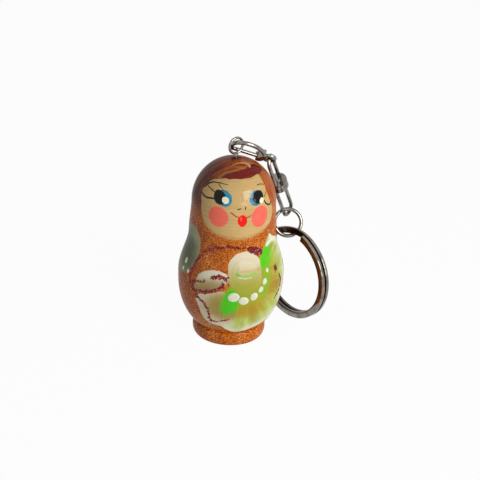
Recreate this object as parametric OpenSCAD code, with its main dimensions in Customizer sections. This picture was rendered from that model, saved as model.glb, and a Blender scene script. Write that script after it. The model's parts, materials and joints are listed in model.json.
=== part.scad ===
// Key ring with a turned and painted wooden nesting-doll figure.
// The figure hangs from a screw eye, a claw clasp, a riveted swivel, a jump ring and a split ring.
// Millimetres, +Z up. The origin is the middle of the foot that the figure stands on, face towards -Y.

/* [Doll] */
// Height of the turned figure, foot to crown
height = 48; // [44:0.5:54]
// Widest diameter of the foot ring
foot_d = 18.7; // [15:0.1:24]
// Height of the foot ring
foot_h = 3.6; // [2.5:0.1:5]
// How far the standing face is drawn in from the widest part of the foot
foot_inset = 0.95; // [0.4:0.05:1.5]
// Depth of the groove between foot and belly
foot_groove = 0.55; // [0.2:0.05:1]
// Widest diameter of the belly
belly_d = 26.8; // [22:0.1:30]
// Height of the belly's widest part
belly_z = 17.7; // [14:0.1:22]
// Fullness of the belly's lower half, 2 is a parabola
belly_fullness = 2.8; // [2:0.1:4]
// Diameter where the shoulders meet the head
neck_d = 22; // [18:0.1:26]
// Height where the shoulders meet the head
neck_z = 28.7; // [25:0.1:33]
// Diameter of the head
head_d = 21; // [17:0.1:23]
// Height from the crown down to where it begins to round over
dome_h = 11; // [10:0.1:14]

/* [Screw eye] */
// Outer diameter of the eye
eye_od = 4.6; // [4.5:0.05:5]
// Wire diameter of the eye
eye_wire = 0.66; // [0.5:0.02:0.8]
// Space between the crown and the underside of the eye
eye_stand = 0.85; // [0.8:0.05:1.2]
// Diameter of the screw
screw_d = 1.2; // [0.9:0.1:1.6]
// Length of the screw in the wood
screw_len = 8; // [6:0.5:12]

/* [Claw clasp] */
// Diameter of the claw's strand
claw_strand = 1.1; // [0.95:0.05:1.15]
// Radius of the claw's nose, at the middle of the strand
nose_r = 2.3; // [2.2:0.05:2.5]
// Length from the nose's middle to the middle of the eyelet
claw_len = 8.4; // [8.2:0.1:9.5]
// Thickness of the claw's body
claw_thick = 2; // [1.9:0.05:2.1]
// Radius of the eyelet, at the middle of its wire
eyelet_r = 1.35; // [1.25:0.05:1.5]
// Wire diameter of the eyelet
eyelet_wire = 1; // [0.8:0.05:1.1]
// Diameter of the gate's arm
gate_d = 1; // [0.8:0.05:1.1]
// Diameter of the gate's pin
pin_d = 0.6; // [0.5:0.05:0.7]
// Thickness of the gate's leaf spring
spring_t = 0.12; // [0.08:0.02:0.16]

/* [Swivel] */
// Length of the swivel between its two round ends, as a part of the figure's height
swivel_share = 0.471; // [0.45:0.001:0.5]
// Part of the swivel's length taken up by the upper stirrup
upper_share = 0.445; // [0.4:0.005:0.5]
// Wire diameter of the two stirrups
yoke_wire = 1; // [0.9:0.05:1.05]
// Half the distance between a stirrup's legs, at the middle of the wire
yoke_r = 1.8; // [1.75:0.05:1.9]
// How far the two round plates stand out past the legs
plate_rim = 0.12; // [0.05:0.01:0.3]
// Thickness of each plate
plate_t = 1.1; // [0.9:0.1:1.5]
// Diameter of the rivet
rivet_d = 1.2; // [0.9:0.05:1.3]
// Diameter of the rivet's heads
rivet_head_d = 1.8; // [1.6:0.05:1.9]
// Height of the rivet's heads
rivet_head_h = 0.6; // [0.4:0.05:0.8]

/* [Rings] */
// Outer diameter of the jump ring
jump_od = 8; // [7.8:0.1:9]
// Wire diameter of the jump ring
jump_wire = 1; // [0.9:0.05:1.05]
// Width of the cut in the jump ring
jump_cut = 0.12; // [0.05:0.01:0.3]
// Outer diameter of the split ring
ring_od = 25; // [23:0.5:28]
// Width of the split ring's strip, across the ring
ring_band = 1.75; // [1.4:0.05:1.9]
// Thickness of the split ring's strip, along the ring's axis
ring_strip = 0.95; // [0.8:0.05:1.05]
// Space between the split ring's two turns
ring_gap = 0.45; // [0.42:0.01:0.55]

/* [Pose] */
// Direction of the eye's plane, seen from above
eye_turn = 25; // [20:1:30]
// Where the claw hangs on the eye, from its level line
eye_hang = -15; // [-20:1:-10]
// Direction in which the claw lies over the crown, seen from above
claw_az = 8; // [5:1:11]
// How far the claw points below the level
claw_drop = 26; // [24:1:27]
// How far the claw is rolled about its own length
claw_roll = 48; // [45:1:52]
// Direction in which the swivel slants away from the figure, seen from above
chain_az = 48; // [44:1:52]
// How far the lower stirrup is turned on the rivet
swivel_turn = 20; // [10:1:25]
// Direction that the jump ring faces, seen from above
jump_az = -94; // [-96:1:-88]
// How far the jump ring faces upwards
jump_tilt = 24; // [18:1:26]
// Direction of the split ring's flat, seen from above
ring_az = -60; // [-64:1:-56]
// Where the jump ring sits on the split ring, from its top
ring_hang = 14; // [10:1:18]

/* [Hidden] */
// Clearances: the pin and the rivet turn, the screw is tight, the links are loose
turn_fit = 0.04;
screw_fit = 0.02;
slot_fit = 0.06;
plate_gap = 0.12;
gate_gap = 0.1;
link_gap = 0.35;
// Smoothness of round pieces
$fn = 48;
// Steps along one stretch of the turned outline
outline_steps = 12;
// Sections along one turn of the split ring
turn_steps = 24;

// Directions and frames: a frame is its origin and its three axes
function unit(v) = v / norm(v);
function heading(az, drop) = [cos(drop) * cos(az), cos(drop) * sin(az), -sin(drop)];
function square_to(v, along) = unit(v - along * (v * along));
function at(f, p) = f[0] + f[1] * p.x + f[2] * p.y;

module place(f) {
  multmatrix([
    [f[1].x, f[2].x, f[3].x, f[0].x],
    [f[1].y, f[2].y, f[3].y, f[0].y],
    [f[1].z, f[2].z, f[3].z, f[0].z]
  ]) children();
}

// Doll: the turned outline, from the foot up
up = [0, 0, 1];
foot_r = foot_d / 2;
groove_r = foot_r - foot_groove;
belly_r = belly_d / 2;
neck_r = neck_d / 2;
head_r = head_d / 2;
dome_z = height - dome_h;
foot_mid = 0.55 * foot_h;
function ease(t) = t * t * (3 - 2 * t);
function mix(a, b, t) = a + (b - a) * t;
steps = [for (i = [1:outline_steps]) i / outline_steps];
doll_outline = concat(
  [[0, 0], [foot_r - foot_inset, 0]],
  [for (t = steps) [mix(foot_r - foot_inset, foot_r, sin(90 * t)), foot_mid * (1 - cos(90 * t))]],
  [for (t = steps) [mix(groove_r, foot_r, cos(90 * t)), mix(foot_mid, foot_h, sin(90 * t))]],
  [for (t = steps) [mix(groove_r, belly_r, 1 - pow(1 - t, belly_fullness)), mix(foot_h, belly_z, t)]],
  [for (t = steps) [mix(belly_r, neck_r, ease(t)), mix(belly_z, neck_z, t)]],
  [for (t = steps) [mix(neck_r, head_r, ease(t)), mix(neck_z, dome_z, t)]],
  [for (t = steps) [t == 1 ? 0 : head_r * cos(90 * t), mix(dome_z, height, sin(90 * t))]]
);

// Screw eye: its middle, the radius of its wire's middle and the frame of its plane
eye_mid = [0, 0, height + eye_stand + eye_od / 2];
eye_r = (eye_od - eye_wire) / 2;
eye_side = heading(eye_turn, 0);
eye_f = [eye_mid, eye_side, up, cross(eye_side, up)];
eye_wire_at = at(eye_f, [eye_r * cos(eye_hang), eye_r * sin(eye_hang)]);

// Claw: x runs from the nose to the eyelet, y to the claw's back, z through its thickness
claw_x = heading(claw_az, claw_drop);
claw_up = square_to(up, claw_x);
claw_y = claw_up * cos(claw_roll) + cross(claw_x, claw_up) * sin(claw_roll);
// The eye's wire lies this far from the middle of the nose.
wire_in_nose = [0, 0.6];
claw_mid = eye_wire_at - claw_x * wire_in_nose.x - claw_y * wire_in_nose.y;
claw_f = [claw_mid, claw_x, claw_y, cross(claw_x, claw_y)];
eyelet_x = claw_len;
body_x = eyelet_x - eyelet_r - 0.85;
// The back is a longer arc that runs on from the nose without a kink.
nose_turn = 120;
nose_dir = [cos(nose_turn), sin(nose_turn)];
spine_to = [body_x, 0.9];
spine_far = (spine_to * spine_to - nose_r * nose_r) / (2 * (nose_r - spine_to * nose_dir));
spine_mid = -spine_far * nose_dir;
spine_r = spine_far + nose_r;
spine_end = atan2(spine_to.y - spine_mid.y, spine_to.x - spine_mid.x);
// The gate turns on the pin and closes against the nose's lip.
pivot = [body_x - 0.3, -0.95];
lip_turn = 242;
lip = nose_r * [cos(lip_turn), sin(lip_turn)];
gate_len = norm(pivot - lip) - gate_gap;
knuckle_r = pin_d / 2 + 0.4;
pocket_r = knuckle_r + slot_fit + spring_t + slot_fit;
cheek_r = pocket_r - 0.05;

// Jump ring and split ring: the split ring stands on the level of the foot
jump_r = (jump_od - jump_wire) / 2;
jump_face = heading(jump_az, -jump_tilt);
jump_up = square_to(up, jump_face);
ring_r = (ring_od - ring_band) / 2;
ring_flat = heading(ring_az, 0);
ring_seat = up * cos(ring_hang) - ring_flat * sin(ring_hang);
// The jump ring is drawn up until the strip just clears the bottom of its wire.
strip_diagonal = norm([ring_band, ring_strip]);
jump_lift = jump_r - jump_wire / 2 - strip_diagonal / 2 - link_gap / 2;
hang_z = ring_od / 2 + ring_r * ring_seat.z;
cross_z = hang_z + (jump_lift + jump_r) * jump_up.z;

// Swivel: its upper end passes through the eyelet, its lower end holds the jump ring's wire
swivel_len = height * swivel_share;
link_top = at(claw_f, [eyelet_x, 0]);
cross_len = swivel_len - yoke_wire / 2 - jump_wire / 2 - link_gap;
chain_drop = asin(min(0.97, (link_top.z - cross_z) / cross_len));
chain_x = heading(chain_az, chain_drop);
cross_at = link_top + chain_x * cross_len;
jump_mid = cross_at - jump_up * jump_r;
ring_mid = jump_mid - jump_up * jump_lift - ring_seat * ring_r;
// Frames along the swivel: x along it, y across the legs
upper_y = square_to(claw_f[3], chain_x);
upper_f = [link_top, chain_x, upper_y, cross(chain_x, upper_y)];
lower_y = upper_y * cos(swivel_turn) + upper_f[3] * sin(swivel_turn);
lower_f = [link_top + chain_x * swivel_len, -chain_x, lower_y, cross(-chain_x, lower_y)];
jump_f = [jump_mid, jump_up, cross(jump_face, jump_up), jump_face];
ring_f = [ring_mid, up, -ring_flat, cross(up, -ring_flat)];
upper_len = swivel_len * upper_share;
lower_len = swivel_len - upper_len - plate_gap;
plate_d = 2 * (yoke_r + yoke_wire / 2 + plate_rim);

// A straight round bar between two points
module bar(from, to, d) {
  run = to - from;
  translate(from)
    rotate([0, acos(run.z / norm(run)), atan2(run.y, run.x)])
      cylinder(d = d, h = norm(run));
}

// A round strand along an arc in the xy plane
module arc_strand(r, d, start, sweep) {
  rotate([0, 0, start]) rotate_extrude(angle = sweep) translate([r, 0]) circle(d = d);
}

// Turned figure with the screw's hole down from its crown
module doll_body() {
  color("sandybrown") difference() {
    rotate_extrude($fn = 96) polygon(doll_outline);
    translate([0, 0, height - screw_len - screw_fit])
      cylinder(d = screw_d + 2 * screw_fit, h = screw_len + 1);
  }
}

// Wire eye on a pointed screw
module screw_eye() {
  point = 1.5 * screw_d;
  color("silver") {
    place(eye_f) arc_strand(eye_r, eye_wire, 0, 360);
    translate([0, 0, height - screw_len + point])
      cylinder(d = screw_d, h = screw_len - point + eye_stand + eye_wire / 2);
    translate([0, 0, height - screw_len]) cylinder(d1 = 0.1, d2 = screw_d, h = point);
  }
}

// Claw: nose and back of one strand, a slotted body and the eyelet
module claw_body() {
  color("gainsboro") place(claw_f) difference() {
    union() {
      claw_nose();
      translate(spine_mid) arc_strand(spine_r, claw_strand, spine_end, nose_turn - spine_end);
      translate(nose_r * nose_dir) sphere(d = claw_strand + 0.06);
      translate([0, 0, -claw_thick / 2]) linear_extrude(claw_thick) hull() {
        translate(spine_to) circle(d = claw_strand);
        translate(pivot) circle(r = cheek_r);
        translate([body_x + 0.5, 0]) circle(d = claw_strand);
      }
      translate([eyelet_x, 0, 0]) arc_strand(eyelet_r, eyelet_wire, 0, 360);
    }
    gate_slot();
    translate([pivot.x, pivot.y, -claw_thick]) cylinder(d = pin_d, h = 2 * claw_thick);
    translate([eyelet_x, 0, -claw_thick]) cylinder(r = eyelet_r - eyelet_wire / 2, h = 2 * claw_thick);
  }
}

// The nose ends in a lip that is hollowed to the sweep of the gate's tip
module claw_nose() {
  difference() {
    arc_strand(nose_r, claw_strand, nose_turn, lip_turn + 18 - nose_turn);
    intersection() {
      translate([pivot.x, pivot.y, -claw_thick])
        cylinder(r = gate_len + gate_gap, h = 2 * claw_thick, $fn = 128);
      translate([-2 * nose_r, pivot.y - 2 * nose_r, -nose_r]) cube([4 * nose_r, 2 * nose_r, 2 * nose_r]);
    }
  }
}

// Room in the claw's body for the gate's root, its tab and its spring
module gate_slot() {
  slot = gate_d + 2 * slot_fit;
  translate([0, 0, -slot / 2]) linear_extrude(slot) {
    translate(pivot) circle(r = pocket_r);
    translate([pivot.x - 2 * pocket_r, pivot.y - 2 * pocket_r]) square([2 * pocket_r, 3 * pocket_r]);
    translate([pivot.x - pocket_r, pivot.y - 2 * pocket_r]) square([2 * pocket_r, 2 * pocket_r]);
  }
}

// Gate: a flat knuckle on the pin, a round arm to the claw's lip and a thumb tab
module claw_gate() {
  tip = pivot + unit(lip - pivot) * (gate_len + gate_d);
  tab = pivot + [0.3, -knuckle_r];
  color("lightgray") place(claw_f) difference() {
    union() {
      intersection() {
        bar([pivot.x, pivot.y, 0], [tip.x, tip.y, 0], gate_d);
        translate([pivot.x, pivot.y, -gate_d]) cylinder(r = gate_len, h = 2 * gate_d, $fn = 128);
      }
      translate([pivot.x, pivot.y, -gate_d / 2]) cylinder(r = knuckle_r, h = gate_d);
      translate([tab.x, tab.y, -gate_d / 2]) cylinder(d = 0.7, h = gate_d);
    }
    translate([pivot.x, pivot.y, -gate_d]) cylinder(d = pin_d + 2 * turn_fit, h = 2 * gate_d);
  }
}

// Pin held in the claw's two cheeks, on which the gate turns
module gate_pin() {
  color("dimgray") place(claw_f)
    translate([pivot.x, pivot.y, -claw_thick / 2]) cylinder(d = pin_d, h = claw_thick);
}

// Leaf spring curled round the gate's knuckle
module gate_spring() {
  color("darkgray") place(claw_f) translate([pivot.x, pivot.y, -gate_d / 2])
    rotate([0, 0, 20]) rotate_extrude(angle = 110)
      translate([knuckle_r + slot_fit, 0]) square([spring_t, gate_d]);
}

// Stirrup along x: round end at the origin, two legs, and a round plate drilled for the rivet
module stirrup(len) {
  difference() {
    union() {
      translate([yoke_r, 0, 0]) arc_strand(yoke_r, yoke_wire, 90, 180);
      for (side = [-1, 1])
        bar([yoke_r, side * yoke_r, 0], [len - plate_t / 2, side * yoke_r, 0], yoke_wire);
      translate([len - plate_t, 0, 0]) rotate([0, 90, 0]) cylinder(d = plate_d, h = plate_t);
    }
    translate([len - 2 * plate_t, 0, 0])
      rotate([0, 90, 0]) cylinder(d = rivet_d + 2 * turn_fit, h = 3 * plate_t);
  }
}

module upper_yoke() {
  color("silver") place(upper_f) stirrup(upper_len);
}

module lower_yoke() {
  color("silver") place(lower_f) stirrup(lower_len);
}

// Rivet through both plates, with a head inside each stirrup
module swivel_rivet() {
  upper_face = upper_len - plate_t;
  lower_face = upper_len + plate_gap + plate_t + turn_fit;
  color("gray") place(upper_f) rotate([0, 90, 0]) {
    translate([0, 0, upper_face]) cylinder(d = rivet_d, h = lower_face - upper_face);
    translate([0, 0, upper_face - rivet_head_h])
      cylinder(d1 = rivet_d, d2 = rivet_head_d, h = rivet_head_h);
    translate([0, 0, lower_face]) cylinder(d1 = rivet_head_d, d2 = rivet_d, h = rivet_head_h);
  }
}

// Jump ring with the cut where it was bent shut
module jump_ring() {
  cut = 360 * jump_cut / (2 * PI * jump_r);
  color("silver") place(jump_f) arc_strand(jump_r, jump_wire, 75 + cut, 360 - cut);
}

// Split ring: one flat strip in two turns, which steps across between its two ends
pitch = ring_strip + ring_gap;
step_half = 30;
coil_from = step_half;
coil_to = 720 - step_half;
coil_rings = ceil(turn_steps * (coil_to - coil_from) / 360);
function step_part(a) = max(0, min(1, (a - 360 + step_half) / (2 * step_half)));
function coil_rise(a) = pitch * (ease(step_part(a)) - 0.5);
// Section of the strip: flat sides and rounded rims, as parts of its width and thickness
strip_section = [[0.5, 0], [0.34, 0.5], [-0.34, 0.5], [-0.5, 0], [-0.34, -0.5], [0.34, -0.5]];
sides = len(strip_section);
function coil_angle(i) = mix(coil_from, coil_to, i / coil_rings);
function coil_point(a, s) =
  let (r = ring_r + s.x * ring_band)
  [r * cos(a + ring_hang), r * sin(a + ring_hang), coil_rise(a) + s.y * ring_strip];
coil_points = [for (i = [0:coil_rings]) for (s = strip_section) coil_point(coil_angle(i), s)];
function coil_index(i, k) = i * sides + k % sides;
coil_faces = concat(
  [[for (k = [sides - 1:-1:0]) k]],
  [for (i = [0:coil_rings - 1]) for (k = [0:sides - 1])
    [coil_index(i, k), coil_index(i, k + 1), coil_index(i + 1, k)]],
  [for (i = [0:coil_rings - 1]) for (k = [0:sides - 1])
    [coil_index(i, k + 1), coil_index(i + 1, k + 1), coil_index(i + 1, k)]],
  [[for (k = [0:sides - 1]) coil_index(coil_rings, k)]]
);
// Least distance between points of the strip that lie more than half a turn apart along it
half_turn = turn_steps / 2;
coil_gap = min([
  for (i = [0:coil_rings - half_turn]) for (j = [i + half_turn:coil_rings])
    for (k = [0:sides - 1]) for (m = [0:sides - 1])
      norm(coil_points[coil_index(i, k)] - coil_points[coil_index(j, m)])
]);
echo(split_ring_least_gap = coil_gap);

module split_ring() {
  color("slategray") place(ring_f) polyhedron(coil_points, coil_faces, convexity = 6);
}

doll_body();
screw_eye();
claw_body();
claw_gate();
gate_pin();
gate_spring();
upper_yoke();
swivel_rivet();
lower_yoke();
jump_ring();
split_ring();
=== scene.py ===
"""A painted wooden nesting-doll key ring: looks, light and camera, in metres."""

import json
import logging
import math
import random
from dataclasses import dataclass, field
from enum import Enum
from functools import reduce
from typing import Any, Optional, Sequence, Union

import bmesh
import bpy
from mathutils import Matrix, Vector

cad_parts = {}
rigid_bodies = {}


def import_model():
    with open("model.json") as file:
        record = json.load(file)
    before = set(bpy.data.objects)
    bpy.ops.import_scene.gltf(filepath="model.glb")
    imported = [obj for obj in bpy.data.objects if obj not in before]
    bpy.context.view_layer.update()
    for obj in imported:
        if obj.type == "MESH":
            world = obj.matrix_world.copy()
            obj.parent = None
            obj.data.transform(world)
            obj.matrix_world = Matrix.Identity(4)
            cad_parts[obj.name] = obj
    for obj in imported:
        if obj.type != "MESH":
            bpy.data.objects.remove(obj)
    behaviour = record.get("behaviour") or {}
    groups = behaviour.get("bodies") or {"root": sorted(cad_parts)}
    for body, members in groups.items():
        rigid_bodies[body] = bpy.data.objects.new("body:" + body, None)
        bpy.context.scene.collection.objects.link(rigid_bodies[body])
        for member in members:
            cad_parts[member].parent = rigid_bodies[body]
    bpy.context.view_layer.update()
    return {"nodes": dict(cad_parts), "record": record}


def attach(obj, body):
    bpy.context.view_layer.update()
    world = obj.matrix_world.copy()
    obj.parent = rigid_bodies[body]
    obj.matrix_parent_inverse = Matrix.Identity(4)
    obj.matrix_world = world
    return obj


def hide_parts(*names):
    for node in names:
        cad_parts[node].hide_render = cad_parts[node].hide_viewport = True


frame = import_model()

LOG = logging.getLogger("nesting_doll")
MM = 0.001
Point = tuple[float, float]
Span = tuple[float, float]
Colour = tuple[float, float, float, float]

# Axes of the picture, and the heights in millimetres that they start from
VIEW_RIGHT = (0.98277, -0.18075, 0.03858)
VIEW_UP = (0.04526, 0.43773, 0.89797)
VIEW_BACK = tuple(Vector(VIEW_RIGHT).cross(Vector(VIEW_UP)))
AIM_Z = 24.0
HEAD_Z = 36.0

# Middle of the key ring in millimetres, and its axis
RING_MIDDLE = (17.84, 6.14, 12.5)
RING_AXIS = (-0.866025, -0.5, 0.0)

# Sockets of a colour mix node
MIX_SHARE, MIX_UNDER, MIX_OVER, MIX_RESULT = 0, 6, 7, 2

# Measuring an outline from its middle: directions, least distance in millimetres, room and tolerances
REACH_COUNT = 36
LEAST_REACH = 0.05
REACH_ROOM = 1.02
PARALLEL = 1e-9
CORNER_SLACK = 1e-6

# Welding distances in metres
SOLID_WELD = 1e-6
FINE_WELD = 1e-7


def tint(code: str) -> Colour:
    """Turn a paint code into linear light.

    Args:
        code: Six hex digits.

    Returns:
        The linear colour with full alpha.
    """
    parts = [int(code[i:i + 2], 16) / 255 for i in (0, 2, 4)]
    line = [c / 12.92 if c <= 0.04045 else ((c + 0.055) / 1.055) ** 2.4 for c in parts]
    return (line[0], line[1], line[2], 1.0)


def bow(t: float) -> float:
    """Height of a quarter circle, from 1 at 0 to 0 at 1."""
    return math.sqrt(max(0.0, 1 - t * t))


def ease(t: float) -> float:
    """Smooth rise from 0 at 0 to 1 at 1."""
    return t * t * (3 - 2 * t)


class Wire:
    """One shader value; arithmetic on it adds Math nodes."""

    def __init__(self, board: "Board", socket: bpy.types.NodeSocket) -> None:
        """Hold a socket of a board."""
        self.board = board
        self.socket = socket

    def _math(self, name: str, first: "Value", second: "Value" = 0.0) -> "Wire":
        """Add a Math node of that name on two values."""
        return self.board.node("ShaderNodeMath", {"operation": name}, {0: first, 1: second})

    def __add__(self, other: "Value") -> "Wire":
        """Sum."""
        return self._math("ADD", self, other)

    __radd__ = __add__

    def __sub__(self, other: "Value") -> "Wire":
        """Difference."""
        return self._math("SUBTRACT", self, other)

    def __rsub__(self, other: "Value") -> "Wire":
        """Difference with the wire on the right."""
        return self._math("SUBTRACT", other, self)

    def __mul__(self, other: "Value") -> "Wire":
        """Product."""
        return self._math("MULTIPLY", self, other)

    __rmul__ = __mul__

    def __truediv__(self, other: "Value") -> "Wire":
        """Quotient."""
        return self._math("DIVIDE", self, other)

    def __rtruediv__(self, other: "Value") -> "Wire":
        """Quotient with the wire on the right."""
        return self._math("DIVIDE", other, self)

    def least(self, other: "Value") -> "Wire":
        """Smaller of two values."""
        return self._math("MINIMUM", self, other)

    def most(self, other: "Value") -> "Wire":
        """Larger of two values."""
        return self._math("MAXIMUM", self, other)

    def root(self) -> "Wire":
        """Square root."""
        return self._math("SQRT", self)

    def sine(self) -> "Wire":
        """Sine of an angle in radians."""
        return self._math("SINE", self)

    def step(self, low: float, high: float) -> "Wire":
        """Rise smoothly from 0 to 1.

        Args:
            low: Where the result is 0; it may be the larger one.
            high: Where the result is 1.

        Returns:
            The stepped value.
        """
        kind = {"interpolation_type": "SMOOTHSTEP"}
        if low <= high:
            return self.board.node("ShaderNodeMapRange", kind, {0: self, 1: low, 2: high})
        return self.board.node("ShaderNodeMapRange", kind, {0: self, 1: high, 2: low, 3: 1.0, 4: 0.0})

    def over(self, paint: "Paint", mask: "Value") -> "Wire":
        """Lay a paint over this colour where the mask is 1."""
        return self.board.mix(self, paint, mask)

    def layers(self, *coats: tuple["Paint", "Value"]) -> "Wire":
        """Lay paints over this colour in order, each with its mask."""
        return reduce(lambda under, coat: under.over(*coat), coats, self)


Value = Union[Wire, float, int]
Paint = Union[Wire, str]


class Board:
    """A node tree that values are wired up on."""

    def __init__(self, tree: bpy.types.NodeTree) -> None:
        """Hold the tree."""
        self.tree = tree

    def node(self, kind: str, settings: Optional[dict[str, Any]] = None,
             inputs: Optional[dict[Union[int, str], Any]] = None, out: Union[int, str] = 0) -> Wire:
        """Add a node.

        Args:
            kind: The node's type name.
            settings: Its settings, with stops for a ramp and points for a curve.
            inputs: Values or wires by socket index or name.
            out: The output that is returned.

        Returns:
            The wire of that output.
        """
        made = self.tree.nodes.new(kind)
        for name, value in (settings or {}).items():
            if name == "stops":
                ramp = made.color_ramp
                while len(ramp.elements) > 1:
                    ramp.elements.remove(ramp.elements[-1])
                for i, (at, colour) in enumerate(value):
                    stop = ramp.elements[0] if i == 0 else ramp.elements.new(at)
                    stop.position, stop.color = at, colour
            elif name == "points":
                line = made.mapping.curves[0]
                for i, (x, y) in enumerate(value):
                    if 0 < i < len(value) - 1:
                        line.points.new(x, y)
                    else:
                        line.points[0 if i == 0 else len(line.points) - 1].location = (x, y)
                made.mapping.update()
            else:
                setattr(made, name, value)
        for key, value in (inputs or {}).items():
            if isinstance(value, Wire):
                self.tree.links.new(value.socket, made.inputs[key])
            else:
                made.inputs[key].default_value = value
        return Wire(self, made.outputs[out])

    def here(self) -> tuple[Wire, Wire, Wire]:
        """Object coordinates in millimetres.

        Returns:
            The x, y and z wires.
        """
        place = self.node("ShaderNodeTexCoord", out="Object")
        far = self.node("ShaderNodeVectorMath", {"operation": "SCALE"}, {0: place, "Scale": 1 / MM})
        owner = self.node("ShaderNodeSeparateXYZ", None, {0: far}).socket.node
        return Wire(self, owner.outputs[0]), Wire(self, owner.outputs[1]), Wire(self, owner.outputs[2])

    def along(self, at: tuple[Wire, Wire, Wire], axis: Sequence[float], level: float) -> Wire:
        """Distance along an axis, from the figure's middle at a level."""
        x, y, z = at
        return x * axis[0] + y * axis[1] + (z - level) * axis[2]

    def vector(self, x: Value, y: Value, z: Value = 0.0) -> Wire:
        """A vector of three values."""
        return self.node("ShaderNodeCombineXYZ", None, {0: x, 1: y, 2: z})

    def angle(self, rise: Wire, run: Wire) -> Wire:
        """Angle in radians of a rise over a run."""
        return self.node("ShaderNodeMath", {"operation": "ARCTAN2"}, {0: rise, 1: run})

    def grain(self, at: Wire, scale: float, detail: float = 2.0, rough: float = 0.5) -> Wire:
        """Soft noise of about 0.5 in the mean at a vector in millimetres."""
        inputs = {"Vector": at, "Scale": scale, "Detail": detail, "Roughness": rough}
        return self.node("ShaderNodeTexNoise", None, inputs)

    def flakes(self, at: Wire, scale: float) -> Wire:
        """A random shade for each small cell, as in glitter."""
        cells = self.node("ShaderNodeTexVoronoi", None, {"Vector": at, "Scale": scale}, out="Color")
        return self.node("ShaderNodeSeparateColor", None, {0: cells})

    def bump(self, height: Wire, strength: float, depth: float) -> Wire:
        """A bump normal from a height; depth in millimetres."""
        inputs = {"Strength": strength, "Distance": depth * MM, "Height": height}
        return self.node("ShaderNodeBump", None, inputs, out="Normal")

    def ramp(self, at: Value, *stops: tuple[float, str]) -> Wire:
        """A colour that runs through paint codes as a value rises."""
        marks = [(place, tint(code)) for place, code in stops]
        return self.node("ShaderNodeValToRGB", {"stops": marks}, {0: at})

    def mix(self, under: Paint, over: Paint, share: Value) -> Wire:
        """Mix two paints.

        Args:
            under: Wire or paint code where the share is 0.
            over: Wire or paint code where the share is 1.
            share: The share of the second one.

        Returns:
            The mixed colour.
        """
        inputs: dict[Union[int, str], Any] = {MIX_SHARE: share}
        for socket, paint in ((MIX_UNDER, under), (MIX_OVER, over)):
            inputs[socket] = tint(paint) if isinstance(paint, str) else paint
        return self.node("ShaderNodeMix", {"data_type": "RGBA"}, inputs, out=MIX_RESULT)

    def seen(self) -> Wire:
        """Tell rays that show the background from those that only light the object.

        Returns:
            1 for rays of the camera, of gloss and of clear pieces, or else 0.
        """
        owner = self.node("ShaderNodeLightPath").socket.node
        kinds = ("Is Camera Ray", "Is Glossy Ray", "Is Transmission Ray")
        return reduce(Wire.most, [Wire(self, owner.outputs[kind]) for kind in kinds])


def fresh(name: str) -> tuple[bpy.types.Material, Board, bpy.types.Node]:
    """Start a material.

    Args:
        name: The material's name.

    Returns:
        The material, its board and its shader node.
    """
    material = bpy.data.materials.new(name)
    material.use_nodes = True
    shader = next(n for n in material.node_tree.nodes if n.type == "BSDF_PRINCIPLED")
    return material, Board(material.node_tree), shader


def feed(shader: bpy.types.Node, **links: Wire) -> None:
    """Link wires to a shader; underscores in a name stand for spaces."""
    for name, wire in links.items():
        wire.board.tree.links.new(wire.socket, shader.inputs[name.replace("_", " ")])


def fix(shader: bpy.types.Node, **values: float) -> None:
    """Set constants on a shader; underscores in a name stand for spaces."""
    for name, value in values.items():
        shader.inputs[name.replace("_", " ")].default_value = value


class Metal(Enum):
    """The plated finishes on the fittings."""

    NICKEL = "polished_nickel"
    STEEL = "key_ring_steel"
    SPRING = "spring_steel"


@dataclass(frozen=True)
class PlatedFinish:
    """Bright plated metal with fine handling scratches; radii in millimetres."""

    kind: Metal
    light: str = "97928a"
    dark: str = "6a655e"
    rough: float = 0.1
    # Painted shade on the key ring: its colour, the gap widths and the radii where it starts and is full
    gap_shade_paint: str = "2c211a"
    gap_edge: float = 0.5
    gap_middle: float = 0.1
    unshaded_r: float = 11.6
    shaded_r: float = 10.9

    def painted_gap_shade(self, at: tuple[Wire, Wire, Wire]) -> Wire:
        """Painted shade between the key ring's turns and round its inner edge.

        Args:
            at: Object coordinates in millimetres.

        Returns:
            The mask.
        """
        dx, dy, dz = (wire - middle for wire, middle in zip(at, RING_MIDDLE))
        side = dx * RING_AXIS[0] + dy * RING_AXIS[1]
        span = (dx * dx + dy * dy + dz * dz - side * side).root()
        gap = (side * side).root().step(self.gap_edge, self.gap_middle)
        return gap.most(span.step(self.unshaded_r, self.shaded_r) * 0.75)

    def material(self) -> bpy.types.Material:
        """Build the metal.

        Returns:
            The material.
        """
        material, board, shader = fresh(self.kind.value)
        x, y, z = board.here()
        at = board.vector(x, y, z)
        tarnish = board.grain(at, 0.55, 4.0, 0.6)
        fine = board.grain(at, 9.0, 3.0, 0.6)
        scratch = board.grain(board.vector(x * 0.5 + z * 0.4, y * 7.0, z * 7.0 - x), 2.2, 3.0, 0.65)
        colour = board.mix(self.dark, self.light, tarnish.step(0.25, 0.7))
        if self.kind is Metal.STEEL:
            # Painted shade: dark brown laid between the key ring's turns and round its inner edge
            colour = colour.over(self.gap_shade_paint, self.painted_gap_shade((x, y, z)) * (fine * 0.5 + 0.6))
        rough = scratch.step(0.5, 0.85) * 0.12 + fine * 0.04 + self.rough - 0.02
        relief = board.bump(scratch + fine * 0.4, 0.025, 0.01)
        feed(shader, Base_Color=colour, Roughness=rough, Normal=relief)
        fix(shader, Metallic=1.0)
        return material


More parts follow.
